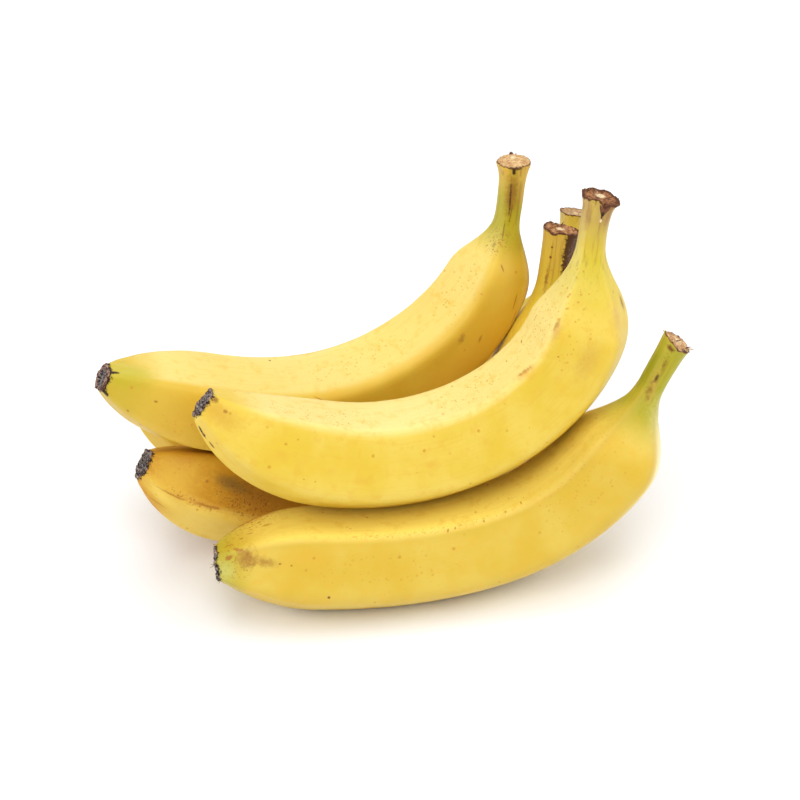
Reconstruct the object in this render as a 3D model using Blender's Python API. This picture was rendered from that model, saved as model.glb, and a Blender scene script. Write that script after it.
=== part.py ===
"""A heap of five ripe bananas: three lie side by side and two rest in the dips above.

Each fruit is one solid. Its skin is a rounded five-sided section, carried along a
centreline that bends in one plane, from the blossom tip through the body and the neck
to the cut end of the stem. Metres, +Z up. The heap stands on the plane z = 0.
"""
import math
from typing import NamedTuple

import bmesh
import bpy
import numpy as np
from mathutils import Euler, Matrix, Vector

COLLECTION = "bunch_of_bananas"

SIDES = 20              # corners of one ring of the skin
RINGS = 40              # rings from the tip to the cut
END_CROWDING = 0.5      # how far the rings gather towards both ends, 0 to 1
PATH_STEPS = 240        # steps in which the centreline is summed

# The five faces of the section: the way each one looks, in degrees from the inner side
# of the bend towards the front, and its distance from the axis for a mean radius of 1.
FACES = ((0, 0.892), (78, 0.945), (-78, 0.945), (148, 0.959), (-148, 0.959))
CORNER_SHARPNESS = 11

TAPER_FROM = 0.5        # the share of the length where the body starts to thin
TAPER_RUN = 0.3
FLARE = 0.30            # the stem is this much wider at its cut end
FLARE_RUN = 0.003
TIP_RIM = 0.0012        # width of the rim round the dimple in the blossom tip
TIP_DIMPLE = 0.0010     # depth of that dimple
CUT_RIM = 0.0010        # the same for the cut end
CUT_DIMPLE = 0.0004
SMOOTH_BELOW = 40       # edges that turn less than this, in degrees, are shaded smooth


class Fruit(NamedTuple):
    """The driving dimensions of one banana, in metres and degrees."""

    name: str
    middle: tuple       # where the middle of the centreline lies
    yaw: float          # turn of the plane of the bend about +Z
    lean: float         # how far that plane leans back from upright
    roll: float         # turn of the section about the centreline
    length: float       # along the centreline, from the tip to the cut
    radius: float       # mean radius of the body
    bend: tuple         # slope of the centreline at even stations, tip to cut
    tip: float          # radius of the blossom tip
    nose: float         # length of the rounding behind the tip
    neck: float         # from the cut to the middle of the neck
    neck_run: float     # length over which the body narrows to the stem
    stem: float         # radius of the stem
    taper: float        # how much thinner the body is beside the neck
    colour: tuple


FRUITS = (
    Fruit("banana_front_bottom", (0.0361, -0.0431, 0.0217), 11, 14, 3,
          0.2090, 0.0187, (-1, -8, 0, 12, 36, 61, 49),
          0.0055, 0.038, 0.037, 0.042, 0.0049, -0.02, (0.82, 0.58, 0.12)),
    Fruit("banana_middle_bottom", (0.0122, -0.0026, 0.0192), 17, 14, -12,
          0.2320, 0.0172, (-39, -22, -6, 15, 47, 75, 78),
          0.0065, 0.038, 0.036, 0.040, 0.0063, 0.09, (0.78, 0.50, 0.09)),
    Fruit("banana_back_bottom", (0.0061, 0.0348, 0.0166), 20, 11, 0,
          0.2295, 0.0165, (-51, -19, -9, 4, 36, 61, 77),
          0.0053, 0.051, 0.045, 0.036, 0.0049, 0.08, (0.76, 0.50, 0.10)),
    Fruit("banana_front_top", (0.0282, -0.0285, 0.0582), 14, 9, -1,
          0.2170, 0.0188, (-49, -27, -5, 18, 47, 84, 76),
          0.0050, 0.055, 0.036, 0.046, 0.0052, 0.06, (0.88, 0.62, 0.10)),
    Fruit("banana_back_top", (-0.0105, 0.0120, 0.0512), 26, 5, 14,
          0.2255, 0.0174, (-35, -27, -13, 9, 35, 70, 87),
          0.0042, 0.045, 0.036, 0.033, 0.0048, 0.17, (0.84, 0.60, 0.16)),
)


def blend(values, share):
    """Read a smooth curve through evenly spaced values at a share of its length."""
    last = len(values) - 1
    step = min(int(share * last), last - 1)
    u = share * last - step
    ends = [2 * values[0] - values[1], *values, 2 * values[-1] - values[-2]]
    a, b, c, d = ends[step:step + 4]
    return b + u / 2 * (c - a + u * (2 * a - 5 * b + 4 * c - d + u * (3 * (b - c) + d - a)))


def ease(x):
    """Rise from 0 to 1 with level ends."""
    x = min(max(x, 0.0), 1.0)
    return x ** 3 * (x * (6 * x - 15) + 10)


def section(angle):
    """Distance from the axis to the outline of the section, for a mean radius of 1."""
    total = 0.0
    for looks, distance in FACES:
        towards = math.cos(angle - math.radians(looks)) / distance
        total += max(0.0, towards) ** CORNER_SHARPNESS
    return total ** (-1 / CORNER_SHARPNESS)


def radius_at(fruit, share):
    """Mean radius of the skin at a share of the length from the tip."""
    along = share * fruit.length
    to_cut = fruit.length - along
    rounding = 1 - (1 - min(along / fruit.nose, 1.0)) ** 2
    body = fruit.tip + (fruit.radius - fruit.tip) * rounding ** 0.9
    body *= 1 - fruit.taper * min(max((share - TAPER_FROM) / TAPER_RUN, 0.0), 1.0) ** 2
    stem_part = ease((fruit.neck + fruit.neck_run / 2 - to_cut) / fruit.neck_run)
    flare = FLARE * fruit.stem * math.exp(-to_cut / FLARE_RUN)
    return body * (1 - stem_part) + fruit.stem * stem_part + flare


def centreline(fruit):
    """Shares of the length, and x, z and the slope at each, with the middle at 0."""
    shares = np.linspace(0.0, 1.0, PATH_STEPS + 1)
    slopes = np.radians([blend(fruit.bend, share) for share in shares])
    step = fruit.length / PATH_STEPS
    x = np.concatenate(([0.0], np.cumsum((np.cos(slopes[1:]) + np.cos(slopes[:-1])) / 2 * step)))
    z = np.concatenate(([0.0], np.cumsum((np.sin(slopes[1:]) + np.sin(slopes[:-1])) / 2 * step)))
    half = PATH_STEPS // 2
    return shares, x - x[half], z - z[half], slopes


def skin_point(fruit, path, share, angle):
    """The point of the skin at a share of the length and an angle round the axis."""
    x, z, slope = (np.interp(share, path[0], values) for values in path[1:])
    radius = radius_at(fruit, share) * section(angle)
    turned = angle + math.radians(fruit.roll)
    inward = radius * math.cos(turned)
    to_front = radius * math.sin(turned)
    return Vector((x - inward * math.sin(slope), -to_front, z + inward * math.cos(slope)))


def placement(fruit):
    """The matrix that stands the plane of the bend where the fruit lies."""
    turn = Euler((math.radians(-fruit.lean), 0.0, math.radians(fruit.yaw)))
    return Matrix.LocRotScale(Vector(fruit.middle), turn, None)


def tube():
    """A straight closed tube with one ring of corners for every station."""
    bm = bmesh.new()
    bmesh.ops.create_cone(bm, cap_ends=True, segments=SIDES, radius1=1, radius2=1, depth=1)
    long_edges = [e for e in bm.edges if abs(e.verts[0].co.z - e.verts[1].co.z) > 0.5]
    bmesh.ops.subdivide_edges(bm, edges=long_edges, cuts=RINGS - 2)
    return bm


def bend_to_shape(bm, fruit):
    """Carry each corner of the straight tube to its place on the skin."""
    path = centreline(fruit)
    for vert in bm.verts:
        even = vert.co.z + 0.5
        share = even - END_CROWDING * math.sin(math.tau * even) / math.tau
        vert.co = skin_point(fruit, path, share, math.atan2(vert.co.y, vert.co.x))


def dimple_ends(bm):
    """Sink the middle of the two end faces behind a rim: the tip's first, then the cut's."""
    ends = sorted((f for f in bm.faces if len(f.verts) == SIDES), key=lambda f: f.calc_center_median().x)
    for face, rim, depth in zip(ends, (TIP_RIM, CUT_RIM), (TIP_DIMPLE, CUT_DIMPLE)):
        bmesh.ops.inset_region(bm, faces=[face], thickness=rim, depth=-depth, use_even_offset=True)


def flatten_below(bm, world):
    """Slice off what lies under the plane z = 0, which leaves a small flat to rest on."""
    local = world.inverted()
    up = local.to_3x3() @ Vector((0.0, 0.0, 1.0))
    everything = bm.verts[:] + bm.edges[:] + bm.faces[:]
    cut = bmesh.ops.bisect_plane(bm, geom=everything, plane_co=local.translation, plane_no=up,
                                 dist=1e-7, clear_inner=True)["geom_cut"]
    rim = [item for item in cut if isinstance(item, bmesh.types.BMEdge)]
    if rim:
        bmesh.ops.edgeloop_fill(bm, edges=rim)


def peel(fruit):
    """The fruit's own ripe peel."""
    material = bpy.data.materials.new(fruit.name.replace("banana", "peel"))
    material.use_nodes = True
    shader = material.node_tree.nodes["Principled BSDF"]
    shader.inputs["Base Color"].default_value = (*fruit.colour, 1.0)
    shader.inputs["Roughness"].default_value = 0.5
    shader.inputs["Metallic"].default_value = 0.0
    return material


def add_banana(fruit, collection):
    """Make one banana and lay it in its place in the heap."""
    world = placement(fruit)
    bm = tube()
    bend_to_shape(bm, fruit)
    dimple_ends(bm)
    flatten_below(bm, world)
    bmesh.ops.recalc_face_normals(bm, faces=bm.faces)
    mesh = bpy.data.meshes.new(fruit.name)
    bm.to_mesh(mesh)
    bm.free()
    mesh.shade_smooth()
    mesh.set_sharp_from_angle(angle=math.radians(SMOOTH_BELOW))
    mesh.materials.append(peel(fruit))
    banana = bpy.data.objects.new(fruit.name, mesh)
    banana.matrix_world = world
    collection.objects.link(banana)


for leftover in list(bpy.data.objects):
    bpy.data.objects.remove(leftover)

heap = bpy.data.collections.new(COLLECTION)
bpy.context.scene.collection.children.link(heap)
for banana in FRUITS:
    add_banana(banana, heap)
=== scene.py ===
import math
from types import SimpleNamespace

import bpy
import numpy as np
from mathutils import Euler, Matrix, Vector, noise


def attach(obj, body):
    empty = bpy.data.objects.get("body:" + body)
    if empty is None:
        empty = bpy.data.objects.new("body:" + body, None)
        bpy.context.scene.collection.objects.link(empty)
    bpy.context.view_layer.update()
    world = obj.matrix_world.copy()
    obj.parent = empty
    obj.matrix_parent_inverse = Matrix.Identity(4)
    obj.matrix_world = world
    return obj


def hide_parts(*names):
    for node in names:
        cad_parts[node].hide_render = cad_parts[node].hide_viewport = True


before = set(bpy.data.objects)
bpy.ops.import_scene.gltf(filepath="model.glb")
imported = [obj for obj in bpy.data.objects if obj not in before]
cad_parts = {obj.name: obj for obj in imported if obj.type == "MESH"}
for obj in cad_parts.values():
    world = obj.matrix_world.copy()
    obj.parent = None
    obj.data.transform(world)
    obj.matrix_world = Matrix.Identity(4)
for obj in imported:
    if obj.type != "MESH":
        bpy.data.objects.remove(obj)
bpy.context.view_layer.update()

# The view. A long lens a little under a metre away looks down on the heap from the
# side where the fruit's flanks show, with the blossom tips to its left.
VIEW_AIM = Vector((0.0013, -0.0225, 0.0695))
VIEW_DISTANCE = 0.90
VIEW_HEIGHT = math.radians(35.2)
camera = bpy.data.objects.new("camera", bpy.data.cameras.new("camera"))
camera.data.sensor_width = 36.0
camera.data.lens = 110.16
camera.location = VIEW_AIM + VIEW_DISTANCE * Vector((0, -math.cos(VIEW_HEIGHT), math.sin(VIEW_HEIGHT)))
camera.rotation_euler = (math.pi / 2 - VIEW_HEIGHT, 0, 0)
bpy.context.scene.collection.objects.link(camera)
bpy.context.scene.camera = camera
bpy.context.scene.view_settings.view_transform = "Standard"


# The table. A seamless white sheet, lit so brightly that it stays white right to the
# edge of the picture and takes only a soft shade under the lowest fruit.
TABLE_HALF = 3.0
table_mesh = bpy.data.meshes.new("white_table")
corners = [(x * TABLE_HALF, y * TABLE_HALF, 0) for x, y in ((-1, -1), (1, -1), (1, 1), (-1, 1))]
table_mesh.from_pydata(corners, [], [(0, 1, 2, 3)])
table = bpy.data.objects.new("white_table", table_mesh)
bpy.context.scene.collection.objects.link(table)
sheet = bpy.data.materials.new("white_sheet")
sheet.use_nodes = True
sheet_shader = sheet.node_tree.nodes["Principled BSDF"]
sheet_shader.inputs["Base Color"].default_value = (0.92, 0.93, 0.96, 1)
sheet_shader.inputs["Roughness"].default_value = 0.9
sheet_shader.inputs["Specular IOR Level"].default_value = 0.1
table_mesh.materials.append(sheet)


# The studio light. A large softbox hangs above, and weaker ones stand all round the
# table, so that every side is lit and the shadows stay soft.
def hang_softbox(name, place, size, power):
    """Hang a square softbox at a place and turn it to face the fruit."""
    lamp = bpy.data.lights.new(name, "AREA")
    lamp.shape = "SQUARE"
    lamp.size = size
    lamp.energy = power
    softbox = bpy.data.objects.new(name, lamp)
    softbox.location = place
    softbox.rotation_euler = (-Vector(place)).to_track_quat("-Z", "Y").to_euler()
    bpy.context.scene.collection.objects.link(softbox)


hang_softbox("softbox_above", (0, 0, 1.5), 1.2, 10)
hang_softbox("softbox_front", (0, -0.9, 1.3), 0.8, 6.6)
hang_softbox("softbox_front_left", (-0.8, -1.0, 0.9), 0.8, 7.2)
hang_softbox("softbox_front_right", (0.9, -0.9, 0.9), 0.8, 1.5)
hang_softbox("softbox_left", (-1.3, 0, 0.6), 0.8, 5)
hang_softbox("softbox_right", (1.3, 0, 0.6), 0.8, 8.6)
hang_softbox("softbox_behind", (0, 1.3, 0.9), 0.8, 7)
room = bpy.data.worlds.new("white_room")
bpy.context.scene.world = room
room.use_nodes = True
glow = room.node_tree.nodes["Background"].inputs
glow["Color"].default_value = (1, 1, 1, 1)
glow["Strength"].default_value = 0.19


# The front fruit of the upper layer, the yellowest. A banana's peel has five soft
# ridges that run from the dry blossom scar at the tip, over a body that bends in one
# plane, into the stem, which was torn from its hand here and dried brown.

# The section's sides: the way each looks, and its distance from the axis for a mean
# radius of 1.
FACES = ((0, 0.892), (78, 0.945), (-78, 0.945), (148, 0.959), (-148, 0.959))
RING_CORNERS = 128
PEEL_RINGS = 360
END_RINGS = 24
SPINE_STEPS = 600

# Rings across the dry scar and across the cut, from the middle out to the rim: the
# share of the rim's radius, and how far the surface stands out there.
SCAR_SHARES = (0.0, 0.30, 0.55, 0.72, 0.84, 0.94, 1.03, 1.05)
SCAR_HEIGHTS = (0.0002, 0.0001, -0.0001, 0.0002, 0.0009, 0.0011, 0.0008, 0.0002)
CUT_SHARES = (0.0, 0.40, 0.70, 0.86, 0.95, 1.0)
CUT_HEIGHTS = (0.0012, 0.0010, 0.0007, 0.0004, 0.0002, 0.0)

GOLD = (0.74, 0.45, 0.045)
AMBER = (0.64, 0.36, 0.035)
TAN = (0.60, 0.34, 0.07)
ORANGE = (0.60, 0.27, 0.025)
RUST = (0.40, 0.15, 0.02)
BROWN = (0.20, 0.075, 0.018)
DARK = (0.035, 0.018, 0.012)
PALE_FLESH = (0.80, 0.66, 0.42)

# How a fruit is written down. Angles are in degrees, and those round the fruit start
# from the inside of its bend and turn towards its front. Sizes are in metres, except
# in the rows of strands, peppered, marks and heart, which are in millimetres.
# middle, yaw, lean, roll: where the middle of the spine lies, and how the fruit is turned.
# bend: the spine's slopes at even steps from the tip to the cut.
# seed, sharp, wax: where its random draws start, how sharp its ridges are, how waxy it is.
# tip, nose, radius, taper: radius at the tip, the nose's length, the body's radius and
#     the share it loses towards the neck.
# neck, neck_run, stem: the neck's distance from the cut, its length and the stem's radius.
# flare, collar: the share by which the stem widens at the cut with its run, and the
#     share by which its very edge draws in.
# tip_tilt: the slant of the scar and the way it looks.
# scar_ring, scar_rough, dome, cut_rough: how far the ring stands up round the scar, how
#     far the cut bulges, and how crumbly the two are.
# lips, frills: around, width, out and up of each tongue of torn peel at the cut and tip.
# strands: along, around, off the axis, then the way out, aside and up, then length,
#     thickness and bluntness.
# painted_light_face: around, reach, strength and colour of the side painted paler, as painted light where the
# lamps fall on it.
# rim_band, rim_share: the dark edge's width on the peel, and where it starts on the cut.
# heart: around, off the axis and size of the pale middle of the cut.
# peppered: colour, strength, along, around, length, width and kind of each speckled patch.
# marks: colour, strength, along, around, length, width, slant, softness and raggedness of each stain, and of
# each patch of painted shade and painted highlight.
front_top = SimpleNamespace(
    name="front_top", middle=(0.0282, -0.0285, 0.0585), yaw=14, lean=9, roll=-1,
    length=0.2170, radius=0.0188, bend=(-49, -27, -5, 18, 47, 84, 76),
    tip=0.0056, nose=0.055, neck=0.0355, neck_run=0.043, stem=0.0052, taper=0.06,
    flare=(0.34, 0.0030), collar=0.06, seed=3, sharp=13, wax=0.4,
    tip_tilt=(0.25, 240), scar_ring=0.45, scar_rough=1.2, dome=-0.5, cut_rough=1.1,
    lips=((125, 30, 0.0016, -0.0006), (60, 16, 0.0004, 0.0007), (-40, 14, 0.0003, 0.0004),
          (0, 30, 0.0, -0.0009), (-80, 22, 0.0002, 0.0009), (-130, 20, 0.0004, 0.0007),
          (92, 11, -0.0006, -0.0022)),
    frills=((30, 14, 0.0002, 0.0), (110, 16, 0.0003, 0.0002)),
    strands=((217.4, -35, 5.6, 0.4, 0.5, 1.0, 1.5, 0.18, 1), (217.3, -60, 5.8, 0.5, -0.6, 1.0, 1.2, 0.15, 1),
             (217.2, 10, 6.0, 0.8, 0.3, 0.9, 1.1, 0.16, 1), (216.4, 128, 7.2, 1.0, 0.4, 0.2, 1.6, 0.22, 1),
             (216.2, 112, 6.4, 0.9, -0.4, -0.6, 1.3, 0.15, 1),
             (211.6, 91, 6.1, 0.7, 0.1, -1.0, 1.3, 0.20, 2)),
    # A paler crest on the ridges: a painted highlight.
    pale=(0.79, 0.58, 0.090), deep=(0.75, 0.52, 0.045), crest=(0.80, 0.60, 0.10), painted_ridge_light=0.10,
    green=(0.56, 0.47, 0.015), green_tip=0.0, green_nose=0.030, green_stem=0.55, green_reach=0.012,
    stem_colour=(0.48, 0.30, 0.09), stem_brown=0.85, brown_reach=0.024, stem_streaks=0.45,
    freckles=0.30, dots=0.10, heart=(250, 2.4, 2.4), rim_band=0.0009, rim_share=0.80,
    # The face towards the lamps painted paler: painted light.
    painted_light_face=(0, 41, 0.75, (0.86, 0.70, 0.26)),
    cut_pale=(0.40, 0.18, 0.070), cut_dark=(0.12, 0.038, 0.014), cut_rim=(0.10, 0.034, 0.014),
    fibre=(DARK, (0.34, 0.19, 0.10)),
    peppered=((AMBER, 1.0, 165, 5, 32.0, 15.0, "pores"), (AMBER, 1.0, 115, 2, 34.0, 13.0, "pores"),
              (AMBER, 1.0, 45, 10, 34.0, 12.0, "pores"), (ORANGE, 0.9, 184, 40, 12.0, 14.0, "pores"),
              (AMBER, 0.9, 165, 70, 20.0, 9.0, "pores")),
    marks=((RUST, 0.75, 171, 41, 5.0, 1.2, 0, 0.9, 1.8),
           (TAN, 0.60, 168, 44, 8.0, 2.4, 0, 1.0, 1.0),
           (RUST, 0.70, 142, 37, 6.0, 1.2, 8, 0.9, 2.2),
           (ORANGE, 0.60, 141, 38, 8.0, 2.2, 8, 1.0, 1.4),
           (TAN, 0.40, 160, 90, 12.0, 6.0, 0, 1.0, 1.2),
           (TAN, 0.45, 176, 120, 9.0, 5.0, 0, 1.0, 1.2),
           (GOLD, 0.70, 142, 45, 4.0, 2.5, 0, 1.0, 1.0),
           (BROWN, 0.75, 178, 158, 4.0, 2.4, 0, 1.0, 0.9),
           (TAN, 0.60, 158, 133, 3.0, 2.2, 0, 1.0, 0.9),
           (RUST, 0.95, 149, -15, 1.3, 0.45, -50, 0.4, 0.6),
           (RUST, 0.90, 137, -9, 0.6, 0.5, 0, 0.5, 0.3),
           (RUST, 0.80, 157, 56, 0.5, 0.45, 0, 0.5, 0.3),
           (DARK, 0.95, 6, 162, 2.6, 1.0, -3, 0.3, 1.6),
           (BROWN, 0.95, 11, 158, 1.6, 0.8, -3, 0.4, 1.6),
           (BROWN, 0.85, 1.5, 49, 1.6, 1.6, 0, 0.7, 1.5),
           (AMBER, 0.75, 5, 75, 12.0, 6.0, 0, 1.0, 0.8),
           (RUST, 0.80, 6, 62, 1.0, 0.8, 0, 0.6, 1.2),
           (ORANGE, 0.80, 30, 67, 0.9, 0.7, 0, 0.7, 0.4),
           (GOLD, 0.75, 30, 82, 4.2, 2.4, 0, 1.0, 0.9),
           (GOLD, 0.70, 62, 92, 6.0, 2.6, 0, 1.0, 0.9),
           (GOLD, 0.60, 88, 80, 5.0, 2.0, 8, 1.0, 0.9),
           ((0.30, 0.15, 0.07), 0.75, 212, 118, 8.0, 3.4, 0, 1.0, 0.8),
           ((0.30, 0.15, 0.06), 0.60, 211, 40, 7.0, 2.0, 0, 1.0, 1.2),
           (DARK, 0.95, 213.4, 84, 3.4, 0.45, -24, 0.5, 0.6),
           (DARK, 0.85, 213.4, 100, 3.0, 0.35, 24, 0.5, 0.6),
           ((0.20, 0.075, 0.040), 1.0, 217.4, 92, 5.0, 2.0, 0, 0.3, 0.7),
           (DARK, 0.95, 212.2, 92, 1.9, 0.6, 0, 0.4, 0.5),
           (PALE_FLESH, 0.95, 209.8, 91, 0.8, 0.5, 0, 0.4, 0.4)))


def blend(values, share):
    """Read a smooth curve through evenly spaced values at a share of its length."""
    last = len(values) - 1
    step = min(int(share * last), last - 1)
    u = share * last - step
    ends = [2 * values[0] - values[1], *values, 2 * values[-1] - values[-2]]
    a, b, c, d = ends[step:step + 4]
    return b + u / 2 * (c - a + u * (2 * a - 5 * b + 4 * c - d + u * (3 * (b - c) + d - a)))


def ease(x):
    """Rise from 0 to 1 with level ends."""
    x = np.clip(x, 0, 1)
    return x ** 3 * (x * (6 * x - 15) + 10)


def five_sided(angles, sharpness):
    """Distance from the axis to the outline of the section, for a mean radius of 1."""
    total = np.zeros_like(angles)
    for looks, distance in FACES:
        total += np.maximum(0, np.cos(angles - math.radians(looks)) / distance) ** sharpness
    return total ** (-1 / sharpness)


def stem_share(fruit, along):
    """How far the body has turned into stem at a distance from the tip, 0 to 1."""
    return ease((fruit.neck + fruit.neck_run / 2 - (fruit.length - along)) / fruit.neck_run)


NOSE_FULLNESS = 0.9
TAPER_FROM, TAPER_RUN = 0.5, 0.3
COLLAR_RUN = 0.0007


def peel_radius(fruit, along):
    """Mean radius of the peel at a distance from the tip."""
    rounding = 1 - (1 - np.minimum(along / fruit.nose, 1)) ** 2
    body = fruit.tip + (fruit.radius - fruit.tip) * rounding ** NOSE_FULLNESS
    tapered = np.clip((along / fruit.length - TAPER_FROM) / TAPER_RUN, 0, 1) ** 2
    body = body * (1 - fruit.taper * tapered)
    stem_part = stem_share(fruit, along)
    amount, run = fruit.flare
    to_cut = np.maximum(fruit.length - along, 0)
    edge = fruit.stem * (amount * np.exp(-to_cut / run) - fruit.collar * np.exp(-to_cut / COLLAR_RUN))
    return body * (1 - stem_part) + fruit.stem * stem_part + edge


def spine(fruit):
    """Distances from the tip, and x, z and the slope at each, with the middle at 0."""
    alongs = np.linspace(0, fruit.length, SPINE_STEPS + 1)
    slopes = np.radians([blend(fruit.bend, along / fruit.length) for along in alongs])
    step = fruit.length / SPINE_STEPS
    x = np.concatenate(([0], np.cumsum((np.cos(slopes[1:]) + np.cos(slopes[:-1])) / 2 * step)))
    z = np.concatenate(([0], np.cumsum((np.sin(slopes[1:]) + np.sin(slopes[:-1])) / 2 * step)))
    half_way = SPINE_STEPS // 2
    return alongs, x - x[half_way], z - z[half_way], slopes


TABLE_GAP = 0.0001


def lay_out(fruit, straight):
    """Bend points of the straightened fruit along its spine, and put them in the fruit's place."""
    along = np.clip(straight[..., 2], 0, fruit.length)
    beyond = straight[..., 2] - along
    path = spine(fruit)
    x, z, slope = (np.interp(along, path[0], values) for values in path[1:])
    roll = math.radians(fruit.roll)
    inward = straight[..., 0] * math.cos(roll) - straight[..., 1] * math.sin(roll)
    front = straight[..., 0] * math.sin(roll) + straight[..., 1] * math.cos(roll)
    points = np.stack([x - inward * np.sin(slope) + beyond * np.cos(slope), -front,
                       z + inward * np.cos(slope) + beyond * np.sin(slope)], axis=-1).reshape(-1, 3)
    laid = Euler((math.radians(-fruit.lean), 0, math.radians(fruit.yaw)))
    points = points @ np.array(laid.to_matrix()).T + np.array(fruit.middle)
    points[:, 2] = np.maximum(points[:, 2], TABLE_GAP)
    return points


RING_CROWDING = 0.6
SCAR_FLATNESS = 0.4


def end_profile(values):
    """Read the profile of a scar or a cut at its rings."""
    return np.interp(np.linspace(0, 1, END_RINGS + 1), np.linspace(0, 1, len(values)), values)


def place_rings(fruit):
    """Each ring's distance from the tip, share of the peel's radius, and height past the end."""
    even = np.linspace(0, 1, PEEL_RINGS)
    peel_alongs = fruit.length * (even - RING_CROWDING * np.sin(math.tau * even) / math.tau)
    alongs = np.concatenate((np.zeros(END_RINGS), peel_alongs, np.full(END_RINGS, fruit.length)))
    shares = np.concatenate((end_profile(SCAR_SHARES)[1:], np.ones(PEEL_RINGS),
                             end_profile(CUT_SHARES)[:0:-1]))
    scar_depth = SCAR_FLATNESS + (1 - SCAR_FLATNESS) * fruit.scar_ring
    beyond = np.concatenate((-end_profile(SCAR_HEIGHTS)[1:] * scar_depth, np.zeros(PEEL_RINGS),
                             end_profile(CUT_HEIGHTS)[:0:-1] * fruit.dome))
    return alongs, shares, beyond


def skin_points(reach, height, angles, alongs):
    """Points of the straightened skin, from their reach from the axis and their height past a ring."""
    return np.stack([reach * np.cos(angles), reach * np.sin(angles), alongs[:, None] + height], axis=-1)


SEED_STEP = (7.3, 3.1, 1.7)


def rough(points, size, seed, draw=1.0):
    """A smooth random value at each point, in lumps of about a size, drawn out lengthwise."""
    shift = Vector([seed * step for step in SEED_STEP])
    scaled = points.reshape(-1, 3) / (size, size, size * draw)
    return np.array([noise.noise(Vector(p) + shift) for p in scaled]).reshape(points.shape[:-1])


def near_angle(angles, centre, width):
    """A soft bump in angle, 1 at its centre, with its centre and width in degrees."""
    off = (angles - math.radians(centre) + math.pi) % math.tau - math.pi
    return np.exp(-(off / math.radians(width)) ** 2)


TIP_FADE = 0.006
LIP_FADE = 0.0024
FRILL_FADE = 0.0016


def weather(fruit, straight, reach, height, angles, alongs, shares):
    """Dent the peel, crumble the scar and the cut, slant the tip and raise the torn tongues."""
    row = np.arange(len(alongs))[:, None]
    on_scar, on_cut = row < END_RINGS, row >= len(alongs) - END_RINGS
    from_tip = np.where(on_scar, 0, alongs[:, None])
    to_cut = np.where(on_cut, 0, fruit.length - alongs[:, None])
    stem_part = stem_share(fruit, alongs)[:, None]
    near_tip = np.exp(-from_tip / TIP_FADE)
    hollows = 0.00030 * rough(straight, 0.017, fruit.seed, 3)
    wrinkles = 0.00007 * rough(straight, 0.0045, fruit.seed + 1, 1.5)
    grooves = 0.00018 * stem_part * rough(straight, 0.0016, fruit.seed + 2, 14)
    creases = 0.00040 * near_tip * rough(straight, 0.0022, fruit.seed + 5, 4)
    reach = reach + (hollows + wrinkles + grooves + creases) * shares[:, None]
    lumps = 0.00045 * rough(straight, 0.0013, fruit.seed + 3)
    grains = 0.00025 * rough(straight, 0.0005, fruit.seed + 4)
    crumbs = lumps + grains
    height = height + crumbs * np.where(on_scar, fruit.scar_rough, 0)
    height = height + crumbs * np.where(on_cut, fruit.cut_rough, 0)
    slant, turn = fruit.tip_tilt
    height += slant * reach * np.cos(angles - math.radians(turn))[None, :] * near_tip
    for tongues, away, fade in ((fruit.lips, to_cut, LIP_FADE), (fruit.frills, from_tip, FRILL_FADE)):
        for around, width, out, up in tongues:
            tongue = near_angle(angles, around, width)[None, :] * np.exp(-away / fade)
            tongue = tongue * np.minimum(shares[:, None], 1) ** 3
            reach = reach + out * tongue
            height = height + up * tongue
    return reach, height


def skin_faces(rings):
    """The faces between the rings, then those that close the scar and the cut at their middles."""
    around = np.arange(RING_CORNERS)
    after = (around + 1) % RING_CORNERS
    starts = (np.arange(rings - 1) * RING_CORNERS)[:, None]
    walls = np.stack([starts + around, starts + after, starts + RING_CORNERS + after,
                      starts + RING_CORNERS + around], axis=-1).reshape(-1, 4)
    last_ring = (rings - 1) * RING_CORNERS
    scar_middle = np.full(RING_CORNERS, rings * RING_CORNERS)
    scar_cap = np.stack([scar_middle, after, around], axis=-1)
    cut_cap = np.stack([scar_middle + 1, last_ring + around, last_ring + after], axis=-1)
    return walls.tolist() + scar_cap.tolist() + cut_cap.tolist()


def face_finishes(rings):
    """The finish of each face: 0 the peel, 1 the scar, 2 the cut."""
    band = np.arange(rings - 1)
    finish = np.where(band < END_RINGS, 1, np.where(band >= rings - END_RINGS - 1, 2, 0))
    return [*np.repeat(finish, RING_CORNERS).tolist(), *[1] * RING_CORNERS, *[2] * RING_CORNERS]


def keep(mesh, name, values):
    """Keep a number or a vector at each point of a mesh, for its finishes to read."""
    kind, field = ("FLOAT_VECTOR", "vector") if values.ndim == 2 else ("FLOAT", "value")
    mesh.attributes.new(name, kind, "POINT").data.foreach_set(field, values.ravel())


STEM_ROUNDING = 0.65
SCAR_MIDDLE = -0.0002
CUT_MIDDLE = 0.001


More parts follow.
